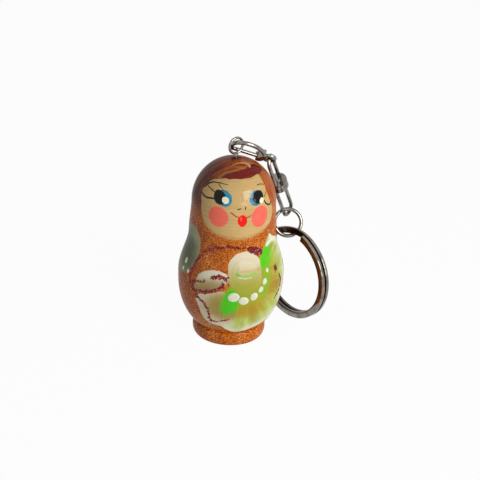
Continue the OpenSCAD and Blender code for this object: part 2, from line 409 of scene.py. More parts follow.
@dataclass(frozen=True)
class GlitterFinish:
    """Glitter glue or pearl paint for the raised ornament, with painted glints on some flakes."""

    name: str
    low: str
    mid: str
    glint_paint: str
    share: float
    rough: float
    cell: float = 5.0

    def material(self) -> bpy.types.Material:
        """Build the paint.

        Returns:
            The material.
        """
        material, board, shader = fresh(self.name)
        at = board.vector(*board.here())
        flake = board.flakes(at, self.cell)
        colour = board.mix(self.low, self.mid, board.grain(at, 1.6, 3.0).step(0.3, 0.7))
        # Painted glints: a small share of flakes takes a pale sparkle colour
        colour = colour.over(self.glint_paint, flake.step(1 - self.share, 1.02 - self.share))
        relief = board.bump(flake, 0.35, 0.04)
        feed(shader, Base_Color=colour, Roughness=flake * 0.25 + self.rough, Normal=relief)
        fix(shader, Specular_IOR_Level=0.2, Coat_Weight=0.15, Coat_Roughness=0.06)
        return material


@dataclass
class Brush:
    """Paints masks on the doll: s runs round the surface and h is the height, in millimetres."""

    board: Board
    s: Wire
    h: Wire

    def oval(self, cx: float, cy: float, rx: float, ry: float, soft: float, turn: float = 0.0) -> Wire:
        """A filled oval.

        Args:
            cx: Centre along s.
            cy: Centre in height.
            rx: Half width.
            ry: Half height.
            soft: Width of the edge as a share of the radius.
            turn: Degrees anticlockwise.

        Returns:
            The mask.
        """
        c, n = math.cos(math.radians(turn)), math.sin(math.radians(turn))
        dx, dy = self.s - cx, self.h - cy
        if turn:
            dx, dy = dx * c + dy * n, dy * c - dx * n
        across, up = dx / rx, dy / ry
        return (across * across + up * up).root().step(1 + soft, 1 - soft)

    def region(self, outline: Sequence[Point], soft: float = 0.12, ragged: Optional[Wire] = None) -> Wire:
        """A filled closed outline that is seen whole from its middle.

        Args:
            outline: Points in order round it.
            soft: Edge width in millimetres.
            ragged: A value of about 0 in the mean that shifts the edge.

        Returns:
            The mask.
        """
        cx = sum(p[0] for p in outline) / len(outline)
        cy = sum(p[1] for p in outline) / len(outline)
        reach = reach_by_angle([(x - cx, y - cy) for x, y in outline], REACH_COUNT)
        top = max(reach) * REACH_ROOM
        turn = self.round(cx, cy) / math.tau + 0.5
        marks = [(i / REACH_COUNT, reach[i % REACH_COUNT] / top) for i in range(REACH_COUNT + 1)]
        edge = self.board.node("ShaderNodeFloatCurve", {"points": marks}, {1: turn}) * top
        gap = edge - self.away(cx, cy)
        if ragged is not None:
            gap = gap + ragged
        return gap.step(-soft, soft)

    def stroke(self, path: Sequence[Point], width: float, soft: float = 0.06, tail: float = 1.0) -> Wire:
        """A brush line through points.

        Args:
            path: Points in order.
            width: Half width in millimetres at the start.
            soft: Edge width.
            tail: Share of the half width at the far end.

        Returns:
            The mask.
        """
        mask: Optional[Wire] = None
        count = len(path) - 1
        for i, ((ax, ay), (bx, by)) in enumerate(zip(path, path[1:])):
            ex, ey = bx - ax, by - ay
            px, py = self.s - ax, self.h - ay
            t = ((px * ex + py * ey) / (ex * ex + ey * ey)).most(0.0).least(1.0)
            dx, dy = px - t * ex, py - t * ey
            wide = width * (1 + (tail - 1) * i / count)
            fall = width * (tail - 1) / count
            gap = (dx * dx + dy * dy).root() - t * fall - wide
            mask = gap if mask is None else mask.least(gap)
        return mask.step(soft, -soft)

    def ovals(self, marks: Sequence[Sequence[float]]) -> Wire:
        """Several filled ovals as one mask."""
        return reduce(Wire.most, [self.oval(*mark) for mark in marks])

    def coats(self, lines: Sequence["Line"]) -> list[tuple[str, Wire]]:
        """Paint and mask of each brush line."""
        return [(line.paint, self.stroke(line.path, line.wide, line.soft, line.tail) * line.share)
                for line in lines]

    def away(self, cx: float, cy: float, wide: float = 1.0, tall: float = 1.0) -> Wire:
        """Distance from a point, with a weight on each direction."""
        dx, dy = self.s - cx, self.h - cy
        return (dx * dx * wide + dy * dy * tall).root()

    def round(self, cx: float, cy: float) -> Wire:
        """Angle round a point, in radians."""
        return self.board.angle(self.h - cy, self.s - cx)

    def streaks(self, turn: float, across: float, along: float) -> Wire:
        """Bristle marks along a direction.

        Args:
            turn: Degrees anticlockwise.
            across: Marks to the millimetre across them.
            along: The same along them.

        Returns:
            A value of about 0.5 in the mean.
        """
        c, n = math.cos(math.radians(turn)), math.sin(math.radians(turn))
        run, side = self.s * c + self.h * n, self.h * c - self.s * n
        return self.board.grain(self.board.vector(run * along, side * across), 1.0, 3.0, 0.6)


def reach_by_angle(loop: Sequence[Point], count: int) -> list[float]:
    """Distance from the origin to a closed loop in evenly spaced directions.

    Args:
        loop: Points in order round the origin.
        count: Number of directions, from minus half a turn.

    Returns:
        One distance per direction.
    """
    found = []
    for i in range(count):
        a = math.tau * i / count - math.pi
        cx, cy = math.cos(a), math.sin(a)
        best = LEAST_REACH
        for (ax, ay), (bx, by) in zip(loop, list(loop[1:]) + [loop[0]]):
            ex, ey = bx - ax, by - ay
            det = ex * cy - ey * cx
            if abs(det) < PARALLEL:
                continue
            r = (ex * ay - ey * ax) / det
            t = (cx * ay - cy * ax) / det
            if r > 0 and -CORNER_SLACK <= t <= 1 + CORNER_SLACK:
                best = max(best, r)
        found.append(best)
    return found


# Painted outlines: place round from the middle of the face, and height, in millimetres
# (the fringe's are square to the front)
FACE = [
    (-10.8, 39.3), (-11.2, 40.6), (-10.6, 42.0), (-8.9, 43.5), (-6.8, 44.6), (-3.6, 45.2), (-0.8, 45.4),
    (1.7, 45.6), (3.7, 46.0), (4.9, 45.9), (5.6, 45.0), (6.4, 44.0), (7.0, 42.8), (7.3, 41.5),
    (8.3, 39.6), (9.2, 38.0), (9.8, 36.1), (9.4, 34.6), (8.2, 33.4), (6.1, 32.5), (3.1, 31.5),
    (0.2, 31.1), (-2.5, 31.2), (-5.0, 31.6), (-7.3, 32.4), (-9.2, 33.5), (-10.3, 35.0), (-10.9, 36.8)]
FRINGE = [
    (-2.6, 16.3), (-0.9, 17.3), (1.5, 18.0), (3.4, 18.7), (4.6, 19.9), (5.8, 19.8), (7.1, 19.1),
    (7.3, 17.9), (6.1, 17.4), (4.6, 16.4), (2.1, 16.0), (-0.6, 16.1)]
DISC = [
    (-3.1, 24.4), (-2.4, 25.9), (-0.9, 27.3), (1.3, 27.8), (3.6, 26.9), (5.1, 25.3), (5.3, 23.8),
    (5.7, 21.1), (5.5, 19.3), (4.6, 18.2), (3.6, 17.4), (1.6, 16.6), (-0.3, 17.1), (-2.2, 18.5),
    (-3.0, 20.4), (-3.1, 22.5)]
UPPER_LEFT = [
    (-11.6, 19.9), (-11.0, 21.0), (-9.3, 22.1), (-7.2, 22.8), (-5.2, 22.8), (-3.7, 22.4), (-3.0, 21.7),
    (-3.1, 20.7), (-4.0, 19.4), (-5.3, 18.2), (-7.8, 16.8), (-9.9, 16.3), (-11.9, 16.3), (-12.5, 17.3),
    (-12.0, 18.8)]
LOWER_LEFT = [
    (-11.6, 15.0), (-11.8, 14.0), (-10.7, 12.1), (-10.0, 10.3), (-8.8, 8.4), (-6.5, 7.3), (-4.5, 7.1),
    (-2.7, 7.7), (-1.3, 9.1), (-0.7, 11.2), (-0.8, 14.3), (-3.1, 17.1), (-4.7, 18.0), (-7.8, 16.7),
    (-10.7, 15.9)]
GREEN_SPOT = [
    (-3.1, 18.6), (-4.1, 17.0), (-4.7, 15.2), (-4.9, 13.3), (-4.6, 12.0), (-3.4, 11.2), (-1.9, 11.7),
    (-0.6, 13.2), (-0.2, 14.7), (-0.6, 17.1), (-1.9, 18.9)]
GREEN_STRIPE = [
    (6.5, 27.6), (7.9, 27.8), (8.7, 26.4), (8.1, 25.4), (7.1, 24.7), (7.1, 23.5), (6.4, 22.9),
    (5.2, 23.2), (5.4, 25.0), (5.7, 26.4)]
SIDE_PETAL = [
    (-19.6, 29.2), (-16.2, 31.2), (-13.2, 31.8), (-11.3, 30.5), (-10.8, 28.3), (-10.9, 26.1),
    (-12.0, 24.1), (-13.3, 22.0), (-15.1, 20.2), (-17.4, 19.0), (-20.0, 18.8), (-22.5, 20.0),
    (-23.6, 22.4), (-23.3, 25.2), (-21.9, 27.5)]

# Ovals of the face: place round and up, half width, half height and the edge as a share
CHEEKS = ((-5.84, 36.45, 2.62, 2.6, 0.06), (4.95, 36.3, 2.5, 2.75, 0.06))
IRISES = ((-4.3, 41.1, 1.95, 1.85, 0.05), (3.75, 41.0, 1.9, 1.75, 0.05))
PUPILS = ((-5.45, 41.2, 1.6, 1.65, 0.05), (4.3, 41.15, 1.62, 1.5, 0.05))
EYE_LIGHTS = ((-4.0, 40.75, 0.86, 0.8, 0.07), (5.35, 40.2, 0.62, 0.68, 0.07))
LIPS = (0.2, 35.8, 1.18, 1.55, 0.07)
LIP_LIGHT = (-0.15, 36.3, 0.2, 0.5, 0.5)

# Ovals of the flower, as above, with a turn in degrees where there is one
LOWER_STAIN = (2.4, 12.2, 3.4, 1.9, 0.7)
RIGHT_STAIN = (10.6, 17.4, 2.2, 2.6, 0.8)
GREEN_HAZE = (7.2, 25.4, 2.1, 3.0, 0.7)
PETAL_SHADE = (-7.2, 18.9, 3.6, 1.5, 0.7, 14.0)

SKIRT_MIDDLE: Point = (1.5, 20.0)
COMB_MIDDLE: Point = (1.0, 10.5)


@dataclass(frozen=True)
class Line:
    """A brush line on the figure; sizes in millimetres."""

    paint: str
    path: Sequence[Point]
    wide: float
    soft: float
    tail: float = 1.0
    share: float = 1.0


SMILE = (
    Line("a81408", [(-2.65, 37.9), (-1.9, 37.3), (-0.9, 36.75)], 0.13, 0.05),
    Line("a81408", [(1.3, 36.6), (1.8, 36.7), (2.3, 37.0)], 0.13, 0.05))
LASHES_AND_NOSTRILS = tuple(Line("1c120a", path, wide, 0.06, tail) for path, wide, tail in (
    ([(-11.0, 41.0), (-10.2, 40.6), (-9.1, 40.4), (-7.1, 40.7)], 0.24, 0.8),
    ([(-8.9, 43.0), (-8.0, 42.6), (-6.9, 42.2)], 0.13, 1.0),
    ([(-5.6, 43.9), (-5.0, 43.4), (-4.4, 42.8)], 0.1, 1.0),
    ([(-9.9, 42.5), (-8.8, 43.4), (-7.2, 44.0), (-5.2, 44.2), (-3.2, 44.1)], 0.16, 0.4),
    ([(6.1, 40.1), (6.8, 39.1), (7.6, 38.6), (8.4, 38.5), (8.95, 38.9)], 0.18, 1.0),
    ([(6.3, 40.9), (6.7, 41.3), (7.05, 41.8)], 0.14, 0.6),
    ([(4.3, 43.7), (5.4, 43.7), (6.7, 43.3)], 0.1, 0.6),
    ([(-1.0, 38.75), (-0.3, 38.95)], 0.16, 0.8), ([(0.75, 38.8), (0.95, 39.4)], 0.17, 0.7)))
SKIRT_LINES = (
    Line("5cc010", [(7.6, 21.0), (7.4, 18.6), (5.8, 16.4)], 0.6, 0.7, share=0.7),
    Line("f4f4e4", [(7.8, 28.3), (9.6, 29.0), (12.0, 28.2)], 0.55, 0.4, share=0.85))
DISC_LINES = (
    Line("bf8c3c", [(0.2, 22.9), (2.4, 22.8), (4.9, 23.0)], 0.3, 0.45, share=0.6),
    Line("7ab81c", [(-1.0, 22.3), (0.4, 21.7), (2.0, 21.7), (3.8, 22.3)], 0.32, 0.3, share=0.9),
    Line("f0ead8", [(-0.6, 21.6), (1.0, 21.15), (2.8, 21.3)], 0.09, 0.1, share=0.7))
LOCK = [(5.6, 20.0), (7.9, 18.5), (9.4, 16.3), (10.3, 13.9), (10.7, 11.6)]
PALE_STRAND = [(4.3, 19.3), (4.0, 19.85), (2.9, 20.2), (1.2, 19.95), (-0.3, 19.2)]
PARTING = [(-3.1, 16.5), (-1.5, 17.6), (0.6, 18.15), (2.8, 18.85), (3.8, 19.4)]

# Drops of pearl paint: place round and up, half width, half height and turn in degrees
PEARL_DROPS = (
    (7.4, 22.1, 0.52, 0.62, 0), (6.5, 19.6, 0.68, 0.9, -20), (5.4, 17.8, 0.72, 0.88, -28),
    (3.5, 16.2, 1.0, 1.1, -35), (0.8, 15.35, 1.35, 1.1, -10), (-1.75, 16.45, 1.5, 1.25, 10),
    (-16.3, 22.3, 0.5, 0.85, 0), (-17.4, 20.2, 0.42, 0.55, 0), (-15.0, 20.3, 0.4, 0.6, 0))

# Lines of glitter glue: points, width and how thickly the dabs lie
GLUE_LINES = [
    ([(-14.0, 17.6), (-14.1, 19.7), (-12.1, 23.3), (-9.8, 26.3), (-6.4, 28.1), (-3.15, 29.1), (1.06, 28.7)],
     0.3, 0.75),
    ([(-12.8, 16.4), (-9.05, 16.9), (-5.65, 18.2), (-4.6, 19.2), (-4.3, 20.0)], 0.42, 1.0),
    ([(-12.4, 19.0), (-10.6, 19.2), (-9.1, 19.7)], 0.26, 0.45),
    ([(-7.4, 20.9), (-5.2, 21.5), (-3.4, 21.0)], 0.5, 1.2),
    ([(-12.6, 18.6), (-13.4, 17.4), (-12.9, 16.5)], 0.5, 0.9),
    ([(-11.7, 15.1), (-9.5, 13.9), (-7.9, 11.9), (-7.55, 9.6), (-6.9, 8.4), (-5.6, 8.5)], 0.3, 0.8),
    ([(-5.4, 8.6), (-3.9, 9.2), (-2.3, 9.9)], 0.14, 0.35),
    ([(12.5, 19.7), (13.4, 17.6), (13.4, 16.0), (11.9, 14.4), (10.4, 13.6)], 0.16, 0.6),
    ([(1.2, 28.6), (2.6, 28.5), (4.2, 27.7), (5.6, 27.0)], 0.3, 0.5),
    ([(10.6, 22.1), (11.1, 21.1)], 0.55, 3.4)]


@dataclass(frozen=True)
class DollPaint:
    """The hand-painted, lacquered finish of the wooden figure, in millimetres and radians.

    A span gives where its mask is 0 and where it is 1.
    """

    name: str = "painted_wood"
    edge: float = 0.12
    frayed: Span = (36.5, 31.5)
    hair_painted_light: Span = (-11.0, 9.0)
    hairline: Span = (34.5, 39.5)
    fan_r: float = 15.2
    fan_shade: float = 14.9
    fan_lobes: float = 6.0
    lobe_deep: float = 0.45
    fan_low: Span = (-2.15, -2.0)
    fan_high: Span = (1.05, 0.95)
    fan_edge: Span = (-0.15, 0.15)
    fan_left: Span = (0.0, -4.5)
    left_cut: float = 1.4
    fan_top: Span = (0.3, 1.0)
    top_cut: float = 2.1
    rim_light: Span = (2.4, 0.2)
    crease_deep: Span = (-0.55, -1.0)
    crease_in: Span = (5.0, 8.5)
    crease_out: Span = (14.6, 11.0)
    upper_shade: Span = (16.0, 22.5)
    lower_heart: Point = (-3.2, 13.5)
    lower_shade: Span = (1.2, 6.2)
    side_heart: Point = (-17.0, 25.0)
    side_shade: Span = (1.0, 7.4)
    disc_heart: Point = (1.2, 22.5)
    disc_shade: Span = (16.5, 27.5)
    front_edge: Span = (0.5, 2.0)
    bare_wood: Span = (0.05, 0.01)
    puddle_r: float = 1.35
    puddle_edge: Span = (0.12, -0.12)
    puddle_z: Span = (46.0, 47.0)

    def glitter(self, board: Board, at: Wire) -> tuple[Wire, Wire]:
        """Gold-orange glitter ground.

        Args:
            board: The material's board.
            at: Object coordinates in millimetres.

        Returns:
            The colour and the flake value.
        """
        flake = board.flakes(at, 5.6)
        shade = flake * 0.75 + board.grain(at, 0.22, 3.0) * 0.4 - 0.08
        colour = board.ramp(shade, (0.0, "561e00"), (0.3, "984202"), (0.6, "c66004"), (0.82, "ee9018"),
                            (1.0, "ffe09a"))
        return colour, flake

    def face(self, brush: Brush, colour: Wire, grain: Wire) -> Wire:
        """Bare-wood face with its painted features.

        Args:
            brush: Surface brush.
            colour: What lies under it.
            grain: Horizontal wood grain.

        Returns:
            The painted colour.
        """
        board = brush.board
        fray = board.grain(board.vector(brush.s, brush.h), 7.0, 3.0, 0.7) - 0.5
        ragged = fray * brush.h.step(*self.frayed) * 6.0
        skin = board.ramp(grain, (0.25, "b89052"), (0.5, "ceaa6c"), (0.75, "dabe86"))
        rosy = board.ramp(grain, (0.3, "e4604c"), (0.7, "fb7562"))
        blue = board.ramp(grain, (0.3, "126a88"), (0.7, "3ca2c2"))
        return colour.layers(
            (skin, brush.region(FACE, self.edge, ragged)), (rosy, brush.ovals(CHEEKS)), *brush.coats(SMILE),
            ("ee1005", brush.oval(*LIPS)), ("ff6a50", brush.oval(*LIP_LIGHT)), (blue, brush.ovals(IRISES)),
            ("0a0806", brush.ovals(PUPILS)), ("f2f0d2", brush.ovals(EYE_LIGHTS)),
            *brush.coats(LASHES_AND_NOSTRILS))

    def hair(self, brush: Brush, flat: Brush, colour: Wire) -> Wire:
        """Combed hair over the crown and down the sides, before the face goes on.

        Args:
            brush: Surface brush.
            flat: Brush square to the front.
            colour: What lies under it.

        Returns:
            The painted colour.
        """
        board = brush.board
        sweep = board.vector(flat.away(*COMB_MIDDLE) * 1.7, flat.round(*COMB_MIDDLE) * 1.3)
        # Comb-stroke tone with painted light: the hair grows lighter towards the right of the front
        shade = board.grain(sweep, 1.0, 4.0, 0.6) + flat.s.step(*self.hair_painted_light) * 0.3 - 0.14
        tone = board.ramp(shade, (0.22, "360d03"), (0.42, "762a08"), (0.58, "a4480d"), (0.78, "cf7420"))
        nap = (board.grain(board.vector(brush.s, brush.h), 3.0, 3.0) - 0.5) * 3.0
        sway = (board.grain(board.vector(brush.s, 0.0), 0.3, 2.0) - 0.5) * 6.0
        return colour.over(tone, (brush.h + nap + sway).step(*self.hairline))

    def fringe(self, flat: Brush, front: Wire, colour: Wire) -> Wire:
        """Dark swept fringe and the light strands beside the parting.

        Args:
            flat: Brush square to the front.
            front: 1 on the front of the head.
            colour: What lies under it.

        Returns:
            The painted colour.
        """
        board = flat.board
        strands, comb = flat.streaks(-58, 2.4, 0.3), flat.streaks(22, 2.6, 0.35)
        brown = board.ramp(strands, (0.3, "8a3c0e"), (0.5, "b05a1a"), (0.75, "cc7c30"))
        red = board.ramp(comb, (0.3, "4a0602"), (0.55, "7a1204"), (0.8, "9a2a0c"))
        return colour.layers(
            (brown, flat.stroke(LOCK, 0.75, 0.3, 0.75) * front * 0.85),
            (red, flat.region(FRINGE, self.edge) * front),
            ("e0b478", flat.stroke(PALE_STRAND, 0.27, 0.16, 0.1) * front * 0.9),
            ("b07c3c", flat.stroke(PARTING, 0.3, 0.24, 0.2) * front * 0.7))

    def skirt(self, brush: Brush, colour: Wire) -> Wire:
        """The wide fan of petals on the right, with its green marks.

        Args:
            brush: Surface brush.
            colour: What lies under it.

        Returns:
            The painted colour.
        """
        board = brush.board
        away, turn = brush.away(*SKIRT_MIDDLE), brush.round(*SKIRT_MIDDLE)
        fold = board.grain(board.vector(turn * 5.5, away * 0.12), 1.0, 3.0, 0.6)
        lobe = (turn * self.fan_lobes).sine()
        rim = lobe * self.lobe_deep + self.fan_r
        rim = rim - brush.s.step(*self.fan_left) * self.left_cut - turn.step(*self.fan_top) * self.top_cut
        fan = turn.step(*self.fan_low) * turn.step(*self.fan_high)
        petals = (rim - away).step(*self.fan_edge) * fan
        shade = away / self.fan_shade * 0.72 + fold * 0.62 - 0.22
        pale = board.ramp(shade, (0.0, "7f9a10"), (0.25, "98a41c"), (0.45, "aa9f28"),
                          (0.62, "b8c45c"), (0.8, "d0d8a0"), (1.0, "e6eacc"))
        crease = lobe.step(*self.crease_deep) * away.step(*self.crease_in) * away.step(*self.crease_out)
        return colour.layers(
            (pale, petals), ("9a8a1e", crease * petals * 0.6),
            ("eef0da", (rim - away).step(*self.rim_light) * (fold * 0.6 + 0.35) * petals),
            ("b08a14", brush.oval(*LOWER_STAIN) * 0.7), ("b07a18", brush.oval(*RIGHT_STAIN) * 0.55),
            ("5cc80c", brush.oval(*GREEN_HAZE) * petals * 0.85), ("52c808", brush.region(GREEN_STRIPE, 0.5)),
            *brush.coats(SKIRT_LINES))

    def left_petals(self, brush: Brush, colour: Wire, lines: Wire) -> Wire:
        """The two cream petals on the left.

        Args:
            brush: Surface brush.
            colour: What lies under it.
            lines: Upright brush marks.

        Returns:
            The painted colour.
        """
        board = brush.board
        shade = brush.h.step(*self.upper_shade) * 0.42 + lines * 0.34 + 0.2
        upper = board.ramp(shade, (0.2, "a2823c"), (0.45, "b8a468"), (0.62, "d6cca4"), (0.85, "eae4cc"))
        shade = brush.away(*self.lower_heart, 0.5, 0.8).step(*self.lower_shade) * 0.55 + lines * 0.34 + 0.06
        lower = board.ramp(shade, (0.2, "9a8638"), (0.42, "b29a5c"), (0.6, "d2c69c"), (0.85, "e8e4cc"))
        return colour.layers(
            (upper, brush.region(UPPER_LEFT, self.edge)),
            ("94702e", brush.oval(*PETAL_SHADE) * (lines * 0.5 + 0.4)),
            (lower, brush.region(LOWER_LEFT, self.edge)))

    def flower(self, brush: Brush, colour: Wire) -> Wire:
        """Pale petals with green hearts on the front of the body, and one at the side.

        Args:
            brush: Surface brush.
            colour: What lies under it.

        Returns:
            The painted colour.
        """
        board = brush.board
        soft = board.grain(board.vector(brush.s, brush.h), 0.5, 3.0)
        lines = board.grain(board.vector(brush.s * 3.2, brush.h * 0.45), 1.0, 3.0, 0.6)
        shade = brush.away(*self.side_heart).step(*self.side_shade) * 0.5 + soft * 0.3 + lines * 0.3 - 0.05
        tone = board.ramp(shade, (0.2, "566038"), (0.5, "80865e"), (0.75, "aeb08a"), (1.0, "d2d2b4"))
        colour = colour.over(tone, brush.region(SIDE_PETAL, 0.25))
        colour = self.left_petals(brush, self.skirt(brush, colour), lines)
        rings = board.grain(board.vector(brush.away(*self.disc_heart) * 2.2, soft * 3.0), 1.0, 3.0, 0.6)
        heart = board.ramp(brush.h.step(*self.disc_shade) * 0.72 + rings * 0.26 + 0.02, (0.0, "8f9a24"),
                           (0.3, "a8a43e"), (0.55, "bfb678"), (0.8, "dccfae"), (1.0, "e8dcc6"))
        return colour.layers((heart, brush.region(DISC, self.edge)), *brush.coats(DISC_LINES),
                             ("49c40a", brush.region(GREEN_SPOT, 0.85)))

    def material(self) -> bpy.types.Material:
        """Build the finish.

        Returns:
            The material.
        """
        material, board, shader = fresh(self.name)
        x, y, z = board.here()
        at = board.vector(x, y, z)
        radius = (x * x + y * y).root()
        bend = board.angle(x, y * -1.0)
        wobble = board.grain(at, 1.3, 2.0) - 0.5
        brush = Brush(board, bend * radius + wobble * 0.22, z + wobble * 0.16)
        across = board.along((x, y, z), VIEW_RIGHT, AIM_Z) + wobble * 0.2
        flat = Brush(board, across, board.along((x, y, z), VIEW_UP, AIM_Z))
        front = board.along((x, y, z), VIEW_BACK, HEAD_Z).step(*self.front_edge)
        grain = board.grain(board.vector(brush.s * 0.16, z * 6.5), 1.0, 3.0, 0.65)
        colour, flake = self.glitter(board, at)
        colour = self.hair(brush, flat, colour)
        colour = self.face(brush, colour, grain)
        colour = self.fringe(flat, front, colour)
        colour = self.flower(brush, colour)
        rings = board.grain(board.vector(radius * 3.0, bend * 0.4), 1.0, 3.0, 0.6)
        wood = board.ramp(rings, (0.3, "b88a50"), (0.7, "dab982"))
        colour = colour.over(wood, z.step(*self.bare_wood))
        puddle = (radius - self.puddle_r + wobble * 0.5).step(*self.puddle_edge) * z.step(*self.puddle_z)
        colour = colour.over("5e1e08", puddle * 0.8)
        relief = board.bump(flake * 0.5 + grain * 0.5, 0.1, 0.05)
        feed(shader, Base_Color=colour, Roughness=flake * 0.2 + 0.3, Normal=relief)
        fix(shader, Specular_IOR_Level=0.0, Coat_Weight=0.36, Coat_IOR=1.55, Coat_Roughness=0.05)
        return material


def piece(name: str, mesh: bmesh.types.BMesh, material: bpy.types.Material,
          sharp: float = 40.0) -> bpy.types.Object:
    """Finish a bmesh as a named object at the origin.

    Args:
        name: The object's name.
        mesh: The shape in metres; it is freed.
        material: Its finish.
        sharp: Edges that bend more than these degrees stay crisp.

    Returns:
        The object.
    """
    for face in mesh.faces:
        face.smooth = True
    for edge in mesh.edges:
        edge.smooth = len(edge.link_faces) == 2 and edge.calc_face_angle(0.0) < math.radians(sharp)
    data = bpy.data.meshes.new(name)
    mesh.to_mesh(data)
    mesh.free()
    data.materials.append(material)
    made = bpy.data.objects.new(name, data)
    bpy.context.scene.collection.objects.link(made)
    LOG.info("piece %s: %d faces", name, len(data.polygons))
    return made


def smooth_copy(node: str, name: str, material: bpy.types.Material, body: str) -> bpy.types.Object:
    """Stand a welded, smoothly shaded copy in for a solid of the same shape.

    Args:
        node: The solid's node.
        name: The piece's name.
        material: Its finish.
        body: The body it rides on.

    Returns:
        The piece.
    """
    mesh = bmesh.new()
    mesh.from_mesh(frame["nodes"][node].data)
    bmesh.ops.remove_doubles(mesh, verts=mesh.verts, dist=SOLID_WELD)
    made = piece(name, mesh, material)
    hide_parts(node)
    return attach(made, body)


@dataclass
class DollFigure:
    """The turned wooden figure with its raised ornament, in millimetres and degrees."""

    height: float = 48.0
    foot_r: float = 9.35
    foot_h: float = 3.6
    foot_mid: float = 0.55
    foot_inset: float = 0.95
    foot_groove: float = 0.55
    belly_r: float = 13.4
    belly_at: float = 17.7
    belly_fullness: float = 2.8
    neck_r: float = 11.0
    neck_at: float = 28.7
    head_r: float = 10.5
    dome_h: float = 11.0
    hole_r: float = 0.66
    hole_deep: float = 2.0
    drop_rise: float = 0.24
    drop_facets: tuple[int, int] = (28, 14)
    knot_at: Point = (3.9, 27.6)
    knot_half: Point = (2.35, 0.95)
    knot_lean: float = -24.0
    knot_dabs: int = 150
    knot_reach: Span = (0.3, 1.0)
    knot_dab: Span = (0.15, 0.28)
    knot_flat: float = 0.6
    line_dab: Span = (0.13, 0.26)
    line_flat: float = 0.5
    line_stretch: Span = (0.8, 1.5)
    line_spread: float = 0.55
    dabs_per_mm: float = 13.0
    thin_line: float = 0.3
    foot_pitch: float = 0.12
    side_pitch: float = 0.35
    side_rings: int = 94
    dome_pitch: int = 2
    turns: int = 192
    rim_gap: float = 0.005
    slope_step: float = 0.02
    crisp_turning: float = 60.0
    crisp_dabs: float = 80.0
    seed: int = 7
    paint: DollPaint = field(default_factory=DollPaint)
    maroon: GlitterFinish = GlitterFinish("maroon_glitter", "58020a", "900a1a", "ff9ca4", 0.07, 0.35, 7.0)
    pearl: GlitterFinish = GlitterFinish("pearl_paint", "d2d6b6", "e4e6ce", "f4f4e6", 0.05, 0.3, 4.0)

    def radius(self, z: float) -> float:
        """Radius of the turned outline at a height.

        Args:
            z: Height above the base.

        Returns:
            The radius.
        """
        mid, groove = self.foot_mid * self.foot_h, self.foot_r - self.foot_groove
        if z < mid:
            return self.foot_r - self.foot_inset + self.foot_inset * bow(1 - z / mid)
        if z < self.foot_h:
            return groove + self.foot_groove * bow((z - mid) / (self.foot_h - mid))
        if z < self.belly_at:
            t = (z - self.foot_h) / (self.belly_at - self.foot_h)
            return groove + (self.belly_r - groove) * (1 - (1 - t) ** self.belly_fullness)
        shoulder = self.height - self.dome_h
        for low, high, a, b in ((self.belly_at, self.neck_at, self.belly_r, self.neck_r),
                                (self.neck_at, shoulder, self.neck_r, self.head_r)):
            if z < high:
                return a + (b - a) * ease((z - low) / (high - low))
        return self.head_r * bow((z - shoulder) / self.dome_h)

    def spot(self, s: float, h: float) -> Matrix:
        """Frame on the surface: x runs round it, y up it and z out of it, in metres.

        Args:
            s: Distance round the surface from the middle of the face.
            h: Height.

        Returns:
            The frame as a matrix.
        """
        r, step = self.radius(h), self.slope_step
        a = s / r
        slope = (self.radius(h + step) - self.radius(h - step)) / (2 * step)
        out = Vector((math.sin(a), -math.cos(a), -slope)).normalized()
        side = Vector((math.cos(a), math.sin(a), 0.0))
        up = out.cross(side)
        turn = Matrix((side, up, out)).transposed().to_4x4()
        return Matrix.Translation(Vector((r * math.sin(a), -r * math.cos(a), h)) * MM) @ turn

    def body(self) -> bpy.types.Object:
        """Spin the turned outline.

        Returns:
            The piece.
        """
        shoulder = self.height - self.dome_h
        top = shoulder + self.dome_h * bow(self.hole_r / self.head_r)
        foot = [i * self.foot_pitch for i in range(round(self.foot_h / self.foot_pitch) + 1)]
        side = [self.foot_h + self.side_pitch * i for i in range(1, self.side_rings + 1)]
        turns = [math.radians(a) for a in range(0, 90, self.dome_pitch)]
        dome = [shoulder + self.dome_h * math.sin(a) for a in turns]
        heights = foot + side + [z for z in dome if z < top - self.rim_gap] + [top]
        floor = self.height - self.hole_deep
        mesh = bmesh.new()
        chain = [mesh.verts.new(Vector((self.radius(z), 0, z)) * MM) for z in heights]
        chain.insert(0, mesh.verts.new((0.0, 0.0, 0.0)))
        chain.append(mesh.verts.new(Vector((self.hole_r, 0, floor)) * MM))
        chain.append(mesh.verts.new(Vector((0, 0, floor)) * MM))
        edges = [mesh.edges.new(pair) for pair in zip(chain, chain[1:])]
        bmesh.ops.spin(mesh, geom=chain + edges, cent=(0, 0, 0), axis=(0, 0, 1), dvec=(0, 0, 0),
                       angle=math.tau, steps=self.turns, use_merge=True, use_duplicate=False)
        bmesh.ops.remove_doubles(mesh, verts=mesh.verts, dist=FINE_WELD)
        bmesh.ops.recalc_face_normals(mesh, faces=mesh.faces)
        made = piece("turned_doll", mesh, self.paint.material(), self.crisp_turning)
        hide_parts("doll_body")
        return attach(made, "doll")

    def dots(self) -> bpy.types.Object:
        """Raised drops of pearl paint along the flower.

        Returns:
            The piece.
        """
        mesh = bmesh.new()
        around, up = self.drop_facets
        for s, h, rx, ry, turn in PEARL_DROPS:
            place = self.spot(s, h) @ Matrix.Rotation(math.radians(turn), 4, "Z")
            shape = Matrix.Diagonal((rx * MM, ry * MM, self.drop_rise * MM, 1.0))
            bmesh.ops.create_uvsphere(mesh, u_segments=around, v_segments=up, radius=1.0,
                                      matrix=place @ shape)
        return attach(piece("pearl_dots", mesh, self.pearl.material()), "doll")

